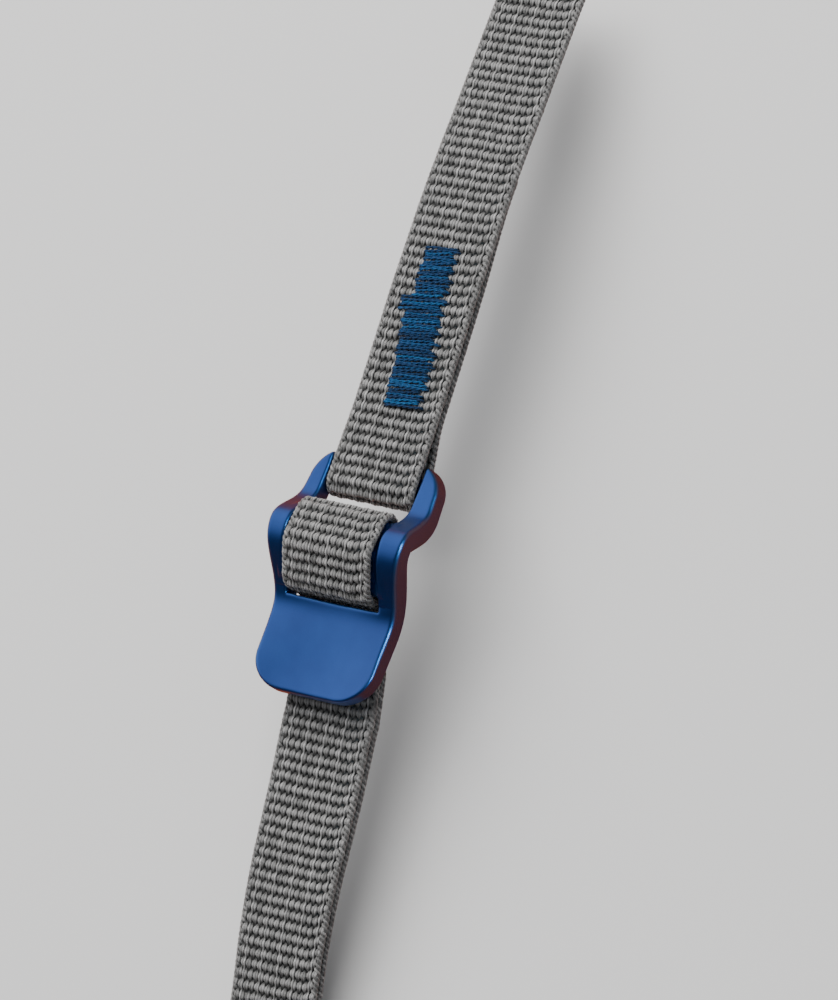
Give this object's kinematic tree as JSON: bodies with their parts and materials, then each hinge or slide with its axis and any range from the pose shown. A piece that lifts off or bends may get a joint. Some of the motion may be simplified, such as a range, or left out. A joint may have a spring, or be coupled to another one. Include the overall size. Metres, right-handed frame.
{
  "type": "ladder lock webbing buckle",
  "caption": "Blue anodised alloy tension buckle on narrow grey webbing: a sewn anchor loop on the top bar and an adjustable strap locked round the middle bar under a dished thumb tab.",
  "frame": {"origin": "middle of the face that rests under the thumb tab, on the underside of the load strand", "axes": "+Y along the strap towards the sewn anchor end, +X across the strap, +Z away from what the buckle rests on"},
  "size_m": [0.0144, 0.1057, 0.015],
  "materials": {
    "anodised_alloy": "satin blue anodised, tumbled edges",
    "grey_webbing": "ribbed narrow polyester webbing",
    "blue_thread": "bonded polyester sewing thread"
  },
  "bodies": {
    "anchor_strap": {"anchor_webbing": "grey_webbing", "bartack_needle_thread": "blue_thread", "bartack_bobbin_thread": "blue_thread"},
    "buckle": {"buckle_body": "anodised_alloy", "adjuster_bight": "grey_webbing"},
    "load_slider": {"load_strand_under_tab": "grey_webbing"},
    "load_end_strap": {"load_strand": "grey_webbing"},
    "tail_slider": {"tail_under_tab": "grey_webbing"},
    "tail_end_strap": {"tail_strand": "grey_webbing"}
  },
  "joints": [
    {"name": "buckle_tilt", "type": "hinge", "parent": "anchor_strap", "child": "buckle", "pos_m": [0, 0.01725, 0.00265], "axis": [-1, 0, 0], "range_deg": [-15, 70]},
    {"name": "tail_pull", "type": "slide", "parent": "buckle", "child": "tail_slider", "axis": [0, -1, 0], "range_m": [0, 0.004]},
    {"name": "load_take_up", "type": "slide", "parent": "buckle", "child": "load_slider", "axis": [0, 1, 0], "range_m": [0, 0.004]},
    {"name": "tail_lift", "type": "hinge", "parent": "tail_slider", "child": "tail_end_strap", "pos_m": [0, -0.0052, 0.0014], "axis": [-1, 0, 0], "range_deg": [0, 80]},
    {"name": "load_swing", "type": "hinge", "parent": "load_slider", "child": "load_end_strap", "pos_m": [0, -0.0052, 0.00045], "axis": [1, 0, 0], "range_deg": [0, 60]}
  ],
  "couplings": [
    {"joint": "load_take_up", "follows": "tail_pull", "ratio": 1}
  ]
}
